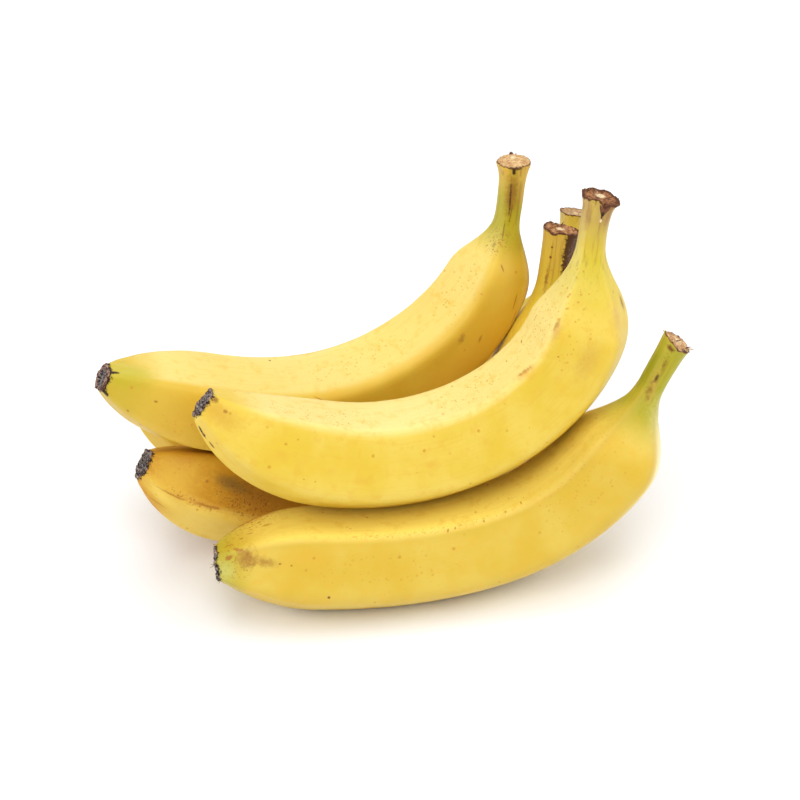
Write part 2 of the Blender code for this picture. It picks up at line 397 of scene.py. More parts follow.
def grow_fruit(fruit, materials):
    """Make a fruit as one closed skin, in its place, riding on the frame."""
    alongs, shares, beyond = place_rings(fruit)
    rings = len(alongs)
    angles = np.arange(RING_CORNERS) * math.tau / RING_CORNERS
    five = five_sided(angles, fruit.sharp)
    rounder = 1 - STEM_ROUNDING * stem_share(fruit, alongs)
    section = 1 + (five - 1)[None, :] * rounder[:, None]
    reach = (peel_radius(fruit, alongs) * shares)[:, None] * section
    height = np.broadcast_to(beyond[:, None], reach.shape).copy()
    straight = skin_points(reach, height, angles, alongs)
    reach, height = weather(fruit, straight, reach, height, angles, alongs, shares)
    points = lay_out(fruit, skin_points(reach, height, angles, alongs))
    middles = points[:RING_CORNERS].mean(axis=0), points[-RING_CORNERS:].mean(axis=0)

    mesh = bpy.data.meshes.new("banana_" + fruit.name + "_grown")
    mesh.from_pydata(np.vstack((points, *middles)).tolist(), [], skin_faces(rings))
    for material in materials:
        mesh.materials.append(material)
    mesh.polygons.foreach_set("material_index", face_finishes(rings))
    mesh.shade_smooth()
    ends = ((0, 0, SCAR_MIDDLE), (0, 0, fruit.length + CUT_MIDDLE))
    keep(mesh, "straight", np.vstack((straight.reshape(-1, 3), *ends)))
    crest = (five - five.min()) / (five.max() - five.min())
    keep(mesh, "crest", np.concatenate((np.tile(crest, rings), (0, 0))))
    keep(mesh, "rim", np.concatenate((np.repeat(shares, RING_CORNERS), (0, 0))))
    piece = bpy.data.objects.new("grown_" + fruit.name, mesh)
    bpy.context.scene.collection.objects.link(piece)
    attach(piece, "root")
    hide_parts("banana_" + fruit.name)


STRAND_RINGS = 9
STRAND_SIDES = 8
STRAND_CURL = 0.25
STRAND_POINT = 0.04
STRAND_FULLNESS = 0.7
ASKEW = (0.31, 0.52, 0.79)


def grow_strands(fruit, material):
    """Make the torn fibres and dry bits that stand out from the ends of a fruit."""
    corners, faces = [], []
    around = np.arange(STRAND_SIDES) * math.tau / STRAND_SIDES
    for place, turn, off, out, aside, up, long, thick, blunt in fruit.strands:
        angle = math.radians(turn)
        radial = np.array([math.cos(angle), math.sin(angle), 0])
        sideways = np.array([-math.sin(angle), math.cos(angle), 0])
        course = out * radial + aside * sideways + up * np.array([0, 0, 1.0])
        course /= np.linalg.norm(course)
        across = np.cross(course, ASKEW)
        across /= np.linalg.norm(across)
        upright = np.cross(course, across)
        start = radial * off / 1000 + np.array([0, 0, place / 1000])
        first = len(corners)
        for share in np.linspace(0, 1, STRAND_RINGS):
            curl = STRAND_CURL * long / 1000 * share ** 2
            centre = start + course * share * long / 1000 + curl * upright
            width = thick / 1000 * max(1 - share ** blunt, STRAND_POINT) ** STRAND_FULLNESS
            corners.extend(centre + width * (math.cos(a) * across + math.sin(a) * upright) for a in around)
        for ring in range(STRAND_RINGS - 1):
            for side in range(STRAND_SIDES):
                a = first + ring * STRAND_SIDES + side
                b = first + ring * STRAND_SIDES + (side + 1) % STRAND_SIDES
                faces.append((a, b, b + STRAND_SIDES, a + STRAND_SIDES))
        last = first + (STRAND_RINGS - 1) * STRAND_SIDES
        faces.append(tuple(range(first + STRAND_SIDES - 1, first - 1, -1)))
        faces.append(tuple(range(last, last + STRAND_SIDES)))
    mesh = bpy.data.meshes.new("torn_fibres_" + fruit.name)
    mesh.from_pydata(lay_out(fruit, np.array(corners)).tolist(), [], faces)
    mesh.materials.append(material)
    mesh.shade_smooth()
    keep(mesh, "straight", np.array(corners))
    piece = bpy.data.objects.new("torn_fibres_" + fruit.name, mesh)
    bpy.context.scene.collection.objects.link(piece)
    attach(piece, "root")


def add(tree, kind, inputs=None, **settings):
    """Add a node, set it, and wire or fill the inputs that are given."""
    made = tree.nodes.new(kind)
    for key, value in settings.items():
        setattr(made, key, value)
    for key, value in (inputs or {}).items():
        if isinstance(value, bpy.types.NodeSocket):
            tree.links.new(value, made.inputs[key])
        else:
            made.inputs[key].default_value = value
    return made


def reckon(tree, operation, *values):
    """One sum on numbers."""
    return add(tree, "ShaderNodeMath", dict(enumerate(values)), operation=operation).outputs[0]


def tint(tree, mask, under, over):
    """Lay one colour over another through a mask."""
    colours = [(*c, 1) if isinstance(c, tuple) else c for c in (under, over)]
    return add(tree, "ShaderNodeMix", {0: mask, 6: colours[0], 7: colours[1]}, data_type="RGBA").outputs[2]


def ramp(tree, value, low, high, start=0.0, end=1.0):
    """Map a value between two limits to another range, with soft ends."""
    return add(tree, "ShaderNodeMapRange", {0: value, 1: low, 2: high, 3: start, 4: end},
               interpolation_type="SMOOTHSTEP").outputs[0]


def clouds(tree, vector, size, detail=3.0, roughness=0.5):
    """Soft random patches of about a size."""
    return add(tree, "ShaderNodeTexNoise", {"Vector": vector, "Scale": 1 / size, "Detail": detail,
                                            "Roughness": roughness}).outputs[0]


def start_group(name, numbers):
    """A new node group that takes the straightened place on the fruit and some numbers."""
    group = bpy.data.node_groups.new(name, "ShaderNodeTree")
    group.interface.new_socket("Straight", in_out="INPUT", socket_type="NodeSocketVector")
    for number in numbers:
        group.interface.new_socket(number, in_out="INPUT", socket_type="NodeSocketFloat")
    group.interface.new_socket("Mask", in_out="OUTPUT", socket_type="NodeSocketFloat")
    return group, group.nodes.new("NodeGroupInput").outputs


def end_group(group, mask):
    """Put the group's mask out."""
    group.links.new(mask, group.nodes.new("NodeGroupOutput").inputs["Mask"])
    return group


def make_stain_and_shade_patch():
    """A patch at a place on the peel, long and wide as asked, soft or ragged at its edge."""
    group, given = start_group("stain_and_shade_patch", ("Along", "Around", "Length", "Width", "Slant", "Softness",
                                          "Raggedness"))
    parts = add(group, "ShaderNodeSeparateXYZ", {0: given["Straight"]}).outputs
    down = reckon(group, "SUBTRACT", parts[2], given["Along"])
    angle = reckon(group, "ARCTAN2", parts[1], parts[0])
    off = reckon(group, "WRAP", reckon(group, "SUBTRACT", angle, given["Around"]), math.pi, -math.pi)
    width = reckon(group, "SQRT", reckon(group, "ADD", reckon(group, "POWER", parts[0], 2.0),
                                         reckon(group, "POWER", parts[1], 2.0)))
    across = reckon(group, "MULTIPLY", off, width)
    cosine, sine = reckon(group, "COSINE", given["Slant"]), reckon(group, "SINE", given["Slant"])
    u = reckon(group, "ADD", reckon(group, "MULTIPLY", down, cosine),
               reckon(group, "MULTIPLY", across, sine))
    v = reckon(group, "SUBTRACT", reckon(group, "MULTIPLY", across, cosine),
               reckon(group, "MULTIPLY", down, sine))
    u = reckon(group, "POWER", reckon(group, "DIVIDE", u, given["Length"]), 2.0)
    v = reckon(group, "POWER", reckon(group, "DIVIDE", v, given["Width"]), 2.0)
    far = reckon(group, "SQRT", reckon(group, "ADD", u, v))
    ragged = clouds(group, given["Straight"], size=0.0016, detail=4.0, roughness=0.75)
    wobble = reckon(group, "SUBTRACT", ragged, 0.5)
    far = reckon(group, "ADD", far, reckon(group, "MULTIPLY", wobble, given["Raggedness"]))
    edge = reckon(group, "SUBTRACT", 1.0, given["Softness"])
    return end_group(group, ramp(group, far, edge, 1.0, start=1.0, end=0.0))


def make_freckles():
    """Small round spots scattered over the peel, some left out and none alike in size."""
    group, given = start_group("freckles", ("Spacing", "Size", "Amount"))
    scale = reckon(group, "DIVIDE", 1.0, given["Spacing"])
    cells = add(group, "ShaderNodeTexVoronoi", {"Vector": given["Straight"], "Scale": scale}).outputs
    chance = add(group, "ShaderNodeSeparateColor", {0: cells["Color"]}).outputs
    size = reckon(group, "MULTIPLY", given["Size"], reckon(group, "MULTIPLY_ADD", chance[1], 0.8, 0.2))
    size = reckon(group, "MULTIPLY", size, scale)
    middle = reckon(group, "MULTIPLY", size, 0.35)
    spot = ramp(group, cells["Distance"], middle, size, start=1.0, end=0.0)
    kept = reckon(group, "LESS_THAN", chance[0], given["Amount"])
    return end_group(group, reckon(group, "MULTIPLY", spot, kept))


def make_fibres():
    """Fine streaks that run lengthwise, as the peel's fibres do."""
    group, given = start_group("fibres", ("Width", "Stretch"))
    squash = add(group, "ShaderNodeCombineXYZ", {0: 1.0, 1: 1.0, 2: given["Stretch"]}).outputs[0]
    drawn = add(group, "ShaderNodeVectorMath", {0: given["Straight"], 1: squash},
                operation="MULTIPLY").outputs[0]
    scale = reckon(group, "DIVIDE", 1.0, given["Width"])
    return end_group(group, add(group, "ShaderNodeTexNoise",
                                {"Vector": drawn, "Scale": scale, "Detail": 3.0}).outputs[0])


STAIN_AND_SHADE_PATCH, FRECKLES, FIBRES = make_stain_and_shade_patch(), make_freckles(), make_fibres()


def masked(tree, group, straight, **numbers):
    """The mask of one of the groups with its own numbers."""
    made = add(tree, "ShaderNodeGroup", node_tree=group)
    tree.links.new(straight, made.inputs["Straight"])
    for name, value in numbers.items():
        made.inputs[name.capitalize()].default_value = value
    return made.outputs["Mask"]


def start_finish(name):
    """A new material, and the parts of it that every finish of the fruit starts from."""
    material = bpy.data.materials.new(name)
    material.use_nodes = True
    tree = material.node_tree
    straight = add(tree, "ShaderNodeAttribute", attribute_name="straight").outputs["Vector"]
    return material, tree, tree.nodes["Principled BSDF"], straight


def roughen(tree, shader, height, strength, distance):
    """Raise a fine relief on a finish."""
    bump = add(tree, "ShaderNodeBump", {"Strength": strength, "Distance": distance, "Height": height})
    tree.links.new(bump.outputs[0], shader.inputs["Normal"])


def clouded_yellow(tree, fruit, straight, parts):
    """Yellow in soft clouds, with painted light on the ridges and on the face painted paler towards the
    lamps.
    """
    cloud = clouds(tree, straight, size=0.022)
    colour = tint(tree, ramp(tree, cloud, 0.35, 0.65), fruit.deep, fruit.pale)
    # Painted light on the ridges: a paler crest colour as a painted highlight, and on the front bottom fruit
    # a darker one, painted shade that dims the light on its ridge.
    crest = add(tree, "ShaderNodeAttribute", attribute_name="crest").outputs["Fac"]
    on_crest = reckon(tree, "MULTIPLY", ramp(tree, crest, 0.55, 1.0), fruit.painted_ridge_light)
    colour = tint(tree, on_crest, colour, fruit.crest)
    angle = reckon(tree, "ARCTAN2", parts[1], parts[0])
    # Painted light: the face towards the lamps is painted paler, fading in away from the tip.
    turn, reach, strength, shade = fruit.painted_light_face
    facing = reckon(tree, "COSINE", reckon(tree, "SUBTRACT", angle, math.radians(turn)))
    outer, inner = math.cos(math.radians(reach + 7)), math.cos(math.radians(reach - 5))
    painted_light_face = ramp(tree, facing, outer, inner, end=strength)
    painted_light_face = reckon(tree, "MULTIPLY", painted_light_face, ramp(tree, parts[2], 0.004, 0.022))
    return tint(tree, painted_light_face, colour, shade)


def ripened_ends(tree, fruit, straight, along, to_cut, colour):
    """Green left at the tip and the neck, and the stem browned and streaked towards its cut."""
    patchy = clouds(tree, straight, size=0.007)
    green_tip = reckon(tree, "MULTIPLY", ramp(tree, along, 0.0, fruit.green_nose, fruit.green_tip, 0.0),
                       ramp(tree, patchy, 0.2, 0.6, start=0.6))
    colour = tint(tree, green_tip, colour, fruit.green)
    green_neck = ramp(tree, to_cut, fruit.neck - 0.010, fruit.neck + fruit.green_reach, fruit.green_stem, 0.0)
    green_neck = reckon(tree, "MULTIPLY", green_neck, ramp(tree, patchy, 0.2, 0.7, start=0.75))
    colour = tint(tree, green_neck, colour, fruit.green)
    browned = ramp(tree, to_cut, 0.001, fruit.brown_reach, start=1.0, end=0.0)
    browned = reckon(tree, "MULTIPLY", browned, fruit.stem_brown)
    browned = reckon(tree, "MULTIPLY", browned, ramp(tree, patchy, 0.25, 0.6, start=0.55))
    colour = tint(tree, browned, colour, fruit.stem_colour)
    on_stem = ramp(tree, to_cut, fruit.neck * 0.35, fruit.neck * 1.1, start=1.0, end=0.0)
    streaks = masked(tree, FIBRES, straight, width=0.0013, stretch=0.035)
    streaks = reckon(tree, "MULTIPLY", ramp(tree, streaks, 0.50, 0.68), on_stem)
    return tint(tree, reckon(tree, "MULTIPLY", streaks, fruit.stem_streaks), colour, BROWN)


def paint_bruises_light_and_shade(tree, fruit, straight, colour):
    """The fruit's own bruises, scuffs and stains, with patches of painted shade and painted highlight among
    them, one over another.
    """
    for shade, strength, place, turn, long, wide, slant, softness, ragged in fruit.marks:
        patch = masked(tree, STAIN_AND_SHADE_PATCH, straight, along=place / 1000, around=math.radians(turn),
                       length=long / 1000, width=wide / 1000, slant=math.radians(slant),
                       softness=softness, raggedness=ragged)
        colour = tint(tree, reckon(tree, "MULTIPLY", patch, strength), colour, shade)
    return colour


def freckled(tree, fruit, straight, colour):
    """Pores and specks in the fruit's own patches, then freckles and darker dots all over."""
    pores = masked(tree, FRECKLES, straight, spacing=0.0015, size=0.0007, amount=0.75)
    specks = ramp(tree, clouds(tree, straight, size=0.0009, roughness=0.65), 0.56, 0.64)
    grains = {"pores": pores, "specks": reckon(tree, "MAXIMUM", pores, specks)}
    for shade, strength, place, turn, long, wide, kind in fruit.peppered:
        patch = masked(tree, STAIN_AND_SHADE_PATCH, straight, along=place / 1000, around=math.radians(turn),
                       length=long / 1000, width=wide / 1000, slant=0.0, softness=1.0, raggedness=0.8)
        grain = reckon(tree, "MULTIPLY", grains[kind], ramp(tree, patch, 0.0, 0.5))
        colour = tint(tree, reckon(tree, "MULTIPLY", grain, strength), colour, shade)
    freckles = masked(tree, FRECKLES, straight, spacing=0.0042, size=0.0010, amount=fruit.freckles)
    colour = tint(tree, reckon(tree, "MULTIPLY", freckles, 0.75), colour, ORANGE)
    dots = masked(tree, FRECKLES, straight, spacing=0.012, size=0.0015, amount=fruit.dots)
    return tint(tree, reckon(tree, "MULTIPLY", dots, 0.85), colour, RUST)


def dried_edges(tree, fruit, straight, along, to_cut, colour):
    """The dark wandering edges of the peel at the scar and at the cut."""
    wander = reckon(tree, "SUBTRACT", clouds(tree, straight, size=0.0014, detail=4.0, roughness=0.65), 0.5)
    tip_edge = reckon(tree, "ADD", along, reckon(tree, "MULTIPLY", wander, -0.0045))
    colour = tint(tree, ramp(tree, tip_edge, 0.0002, 0.0010, start=1.0, end=0.0), colour, DARK)
    cut_edge = reckon(tree, "ADD", to_cut, reckon(tree, "MULTIPLY", wander, -5 * fruit.rim_band))
    on_rim = ramp(tree, cut_edge, 0.3 * fruit.rim_band, fruit.rim_band, start=0.95, end=0.0)
    return tint(tree, on_rim, colour, fruit.cut_rim)


def ripe_peel(fruit):
    """Waxy yellow peel: clouded yellow, green ends, brown stem, freckles, bruises and scuffs, and patches of
    painted light and shade.
    """
    material, tree, shader, straight = start_finish("ripe_peel_" + fruit.name)
    parts = add(tree, "ShaderNodeSeparateXYZ", {0: straight}).outputs
    along = parts[2]
    to_cut = reckon(tree, "SUBTRACT", fruit.length, along)
    fibres = masked(tree, FIBRES, straight, width=0.0009, stretch=0.05)
    mottle = clouds(tree, straight, size=0.0045, detail=4.0, roughness=0.6)

    colour = clouded_yellow(tree, fruit, straight, parts)
    colour = tint(tree, ramp(tree, fibres, 0.50, 0.75, end=0.32), colour, GOLD)
    colour = tint(tree, ramp(tree, mottle, 0.50, 0.72, end=0.45), colour, GOLD)
    colour = ripened_ends(tree, fruit, straight, along, to_cut, colour)
    colour = paint_bruises_light_and_shade(tree, fruit, straight, colour)
    colour = freckled(tree, fruit, straight, colour)
    colour = dried_edges(tree, fruit, straight, along, to_cut, colour)

    tree.links.new(colour, shader.inputs["Base Color"])
    tree.links.new(ramp(tree, mottle, 0.3, 0.7, start=0.45, end=0.60), shader.inputs["Roughness"])
    grain = reckon(tree, "ADD", reckon(tree, "MULTIPLY", fibres, 0.6),
                   clouds(tree, straight, size=0.0008, detail=2.0))
    roughen(tree, shader, grain, strength=0.35, distance=0.0002)
    # Brown and dark places have lost their wax.
    redness = add(tree, "ShaderNodeSeparateColor", {0: colour}).outputs[0]
    tree.links.new(ramp(tree, redness, 0.12, 0.60, end=fruit.wax), shader.inputs["Coat Weight"])
    for socket, value in (("Coat Roughness", 0.40), ("Coat IOR", 1.5), ("Specular IOR Level", 0.12),
                          ("Subsurface Weight", 0.10), ("Subsurface Radius", (1.0, 0.5, 0.12)),
                          ("Subsurface Scale", 0.003)):
        shader.inputs[socket].default_value = value
    return material


def finish_dry(tree, shader, colour, roughness):
    """Give a dry finish its colour and its dullness."""
    tree.links.new(colour, shader.inputs["Base Color"])
    shader.inputs["Roughness"].default_value = roughness
    shader.inputs["Specular IOR Level"].default_value = 0.25


def dry_scar(fruit):
    """The blossom scar: a grey-black crumbly pad inside a pinkish-brown ring."""
    material, tree, shader, straight = start_finish("dry_scar_" + fruit.name)
    rim = add(tree, "ShaderNodeAttribute", attribute_name="rim").outputs["Fac"]
    crumbs = clouds(tree, straight, size=0.0011, detail=5.0, roughness=0.7)
    colour = tint(tree, ramp(tree, crumbs, 0.44, 0.62), (0.014, 0.011, 0.012), (0.33, 0.28, 0.26))
    ring = reckon(tree, "MULTIPLY", ramp(tree, rim, 0.70, 0.86), ramp(tree, crumbs, 0.36, 0.56))
    skin = tint(tree, ramp(tree, crumbs, 0.48, 0.62), (0.20, 0.085, 0.055), (0.48, 0.32, 0.25))
    colour = tint(tree, reckon(tree, "MULTIPLY", ring, fruit.scar_ring), colour, skin)
    finish_dry(tree, shader, colour, roughness=0.85)
    roughen(tree, shader, crumbs, strength=0.8, distance=0.0005)
    return material


def cut_stem(fruit):
    """The cut: dry tan fibres round a pale heart, with darker pits and a brown edge."""
    material, tree, shader, straight = start_finish("cut_stem_" + fruit.name)
    rim = add(tree, "ShaderNodeAttribute", attribute_name="rim").outputs["Fac"]
    dry = clouds(tree, straight, size=0.0012, detail=5.0, roughness=0.68)
    wander = reckon(tree, "SUBTRACT", dry, 0.5)
    colour = tint(tree, ramp(tree, dry, 0.42, 0.60), fruit.cut_dark, fruit.cut_pale)
    turn, off, size = fruit.heart
    centre = (off * math.cos(math.radians(turn)) / 1000, off * math.sin(math.radians(turn)) / 1000, 0)
    flat = add(tree, "ShaderNodeVectorMath", {0: straight, 1: (1, 1, 0)}, operation="MULTIPLY").outputs[0]
    away = add(tree, "ShaderNodeVectorMath", {0: flat, 1: centre}, operation="DISTANCE").outputs["Value"]
    away = reckon(tree, "ADD", away, reckon(tree, "MULTIPLY", wander, 0.004))
    heart = ramp(tree, away, size * 0.6 / 1000, size / 1000, start=0.85, end=0.0)
    colour = tint(tree, heart, colour, PALE_FLESH)
    edge = reckon(tree, "ADD", rim, reckon(tree, "MULTIPLY", wander, 0.6))
    colour = tint(tree, ramp(tree, edge, fruit.rim_share, fruit.rim_share + 0.1), colour, fruit.cut_rim)
    finish_dry(tree, shader, colour, roughness=0.8)
    roughen(tree, shader, dry, strength=0.8, distance=0.0005)
    return material


def dry_fibre(fruit):
    """Dry torn fibres, darker and paler in turn."""
    material, tree, shader, straight = start_finish("dry_fibre_" + fruit.name)
    turns = clouds(tree, straight, size=0.0016, detail=2.0)
    finish_dry(tree, shader, tint(tree, ramp(tree, turns, 0.40, 0.56), *fruit.fibre), roughness=0.8)
    return material


def set_fruit(fruit):
    """Grow a fruit in its own peel, scar and cut, with what is torn at its ends."""
    grow_fruit(fruit, (ripe_peel(fruit), dry_scar(fruit), cut_stem(fruit)))
    if fruit.strands:
        grow_strands(fruit, dry_fibre(fruit))


set_fruit(front_top)


# The back fruit of the upper layer. Its stem was cut clean with a knife and dried tan
# under a small brown nub, and both its ends are still a little green.
back_top = SimpleNamespace(
    name="back_top", middle=(-0.0105, 0.0120, 0.0514), yaw=26, lean=5, roll=14,
    length=0.2255, radius=0.0172, bend=(-35, -27, -13, 9, 35, 70, 87),
    tip=0.0048, nose=0.045, neck=0.035, neck_run=0.030, stem=0.0048, taper=0.14,
    flare=(0.42, 0.0042), collar=0.12, seed=11, sharp=12, wax=0.4,
    tip_tilt=(0.15, 240), scar_ring=1.0, scar_rough=0.9, dome=1.1, cut_rough=0.45,
    lips=((130, 30, 0.0003, 0.0002), (0, 40, 0.0, -0.0004), (95, 40, 0.0, -0.0003)),
    frills=((100, 14, 0.0004, 0.0003),),
    strands=((225.2, 236, 4.7, 0.35, 0.1, 1.0, 1.9, 0.85, 5),
             (225.6, 222, 4.6, 0.6, -0.6, 1.0, 1.3, 0.35, 2)),
    # A paler crest on the ridges: a painted highlight.
    pale=(0.70, 0.47, 0.045), deep=(0.67, 0.42, 0.032), crest=(0.80, 0.60, 0.12), painted_ridge_light=0.2,
    green=(0.38, 0.345, 0.010), green_tip=0.42, green_nose=0.022, green_stem=0.85, green_reach=0.004,
    stem_colour=(0.72, 0.44, 0.06), stem_brown=0.9, brown_reach=0.016, stem_streaks=0.45,
    freckles=0.22, dots=0.10, heart=(250, 0.5, 1.2), rim_band=0.00035, rim_share=0.92,
    # The face towards the lamps painted paler: painted light.
    painted_light_face=(-5, 37, 0.62, (0.86, 0.71, 0.24)),
    cut_pale=(0.74, 0.51, 0.25), cut_dark=(0.48, 0.26, 0.10), cut_rim=(0.10, 0.032, 0.016),
    fibre=((0.05, 0.018, 0.014), (0.15, 0.055, 0.035)),
    peppered=((RUST, 0.80, 194, 30, 7.0, 8.0, "specks"), (AMBER, 0.80, 165, 10, 30.0, 12.0, "pores"),
              (AMBER, 0.70, 110, 0, 40.0, 12.0, "pores"), (AMBER, 0.80, 40, 90, 28.0, 12.0, "pores"),
              (RUST, 0.80, 213, 48, 12.0, 3.2, "specks")),
    # Gold on the belly: partly ripening, partly painted shade where the fruit beneath shades it.
    marks=((GOLD, 0.60, 160, 92, 30.0, 11.0, 0, 1.0, 0.5),
           (GOLD, 0.55, 135, 84, 30.0, 8.0, 0, 1.0, 0.5),
           ((0.27, 0.13, 0.02), 0.90, 214, 52, 13.0, 4.6, 0, 1.0, 1.0),
           (TAN, 0.60, 214, 110, 9.0, 3.0, 0, 1.0, 1.0),
           ((0.10, 0.045, 0.012), 0.90, 212, 46, 9.5, 0.55, -3, 0.6, 1.2),
           ((0.15, 0.06, 0.015), 0.60, 206, 58, 6.0, 0.5, 2, 0.7, 1.2),
           ((0.15, 0.06, 0.015), 0.60, 199, 40, 5.0, 0.5, -4, 0.7, 1.4),
           (DARK, 0.95, 223.8, 51, 1.9, 0.8, 0, 0.4, 1.3),
           (DARK, 0.80, 225, 60, 0.8, 3.2, 0, 0.5, 0.8),
           (BROWN, 0.55, 193, 24, 1.6, 1.2, 0, 0.9, 1.6),
           # Painted highlight: the facet by the neck painted pale cream where the light catches it.
           ((0.86, 0.70, 0.32), 0.75, 178, 122, 18.0, 6.0, 0, 1.0, 0.8),
           (RUST, 0.85, 186, 56, 2.2, 0.40, -35, 0.5, 0.6),
           (RUST, 0.70, 175, 98, 4.0, 0.35, -11, 0.5, 0.6),
           (RUST, 0.50, 170, 108, 3.0, 0.30, -11, 0.5, 0.6),
           (RUST, 0.80, 180, 114, 0.9, 0.6, 0, 0.6, 0.4),
           (RUST, 0.75, 157, 79, 2.4, 0.8, -20, 0.8, 1.8),
           ((0.45, 0.24, 0.035), 0.85, 152, 54, 3.4, 1.6, -15, 0.9, 2.2),
           ((0.48, 0.42, 0.012), 0.80, 6, 25, 13.0, 8.0, 0, 1.0, 0.6),
           (RUST, 0.85, 17, 70, 0.9, 0.6, 0, 0.6, 0.4),
           (RUST, 0.80, 17, 123, 0.9, 0.6, 0, 0.6, 0.4),
           (RUST, 0.80, 10, 109, 0.7, 0.5, 0, 0.6, 0.4),
           (BROWN, 0.85, 70, -32, 0.8, 0.5, 0, 0.6, 0.4),
           (RUST, 0.70, 84, 42, 4.3, 0.3, 27, 0.5, 0.5),
           (DARK, 0.95, 1.2, 28, 2.2, 0.8, 0, 0.4, 1.6),
           (DARK, 0.95, 1.0, 112, 1.6, 1.1, 0, 0.4, 1.6)))
set_fruit(back_top)


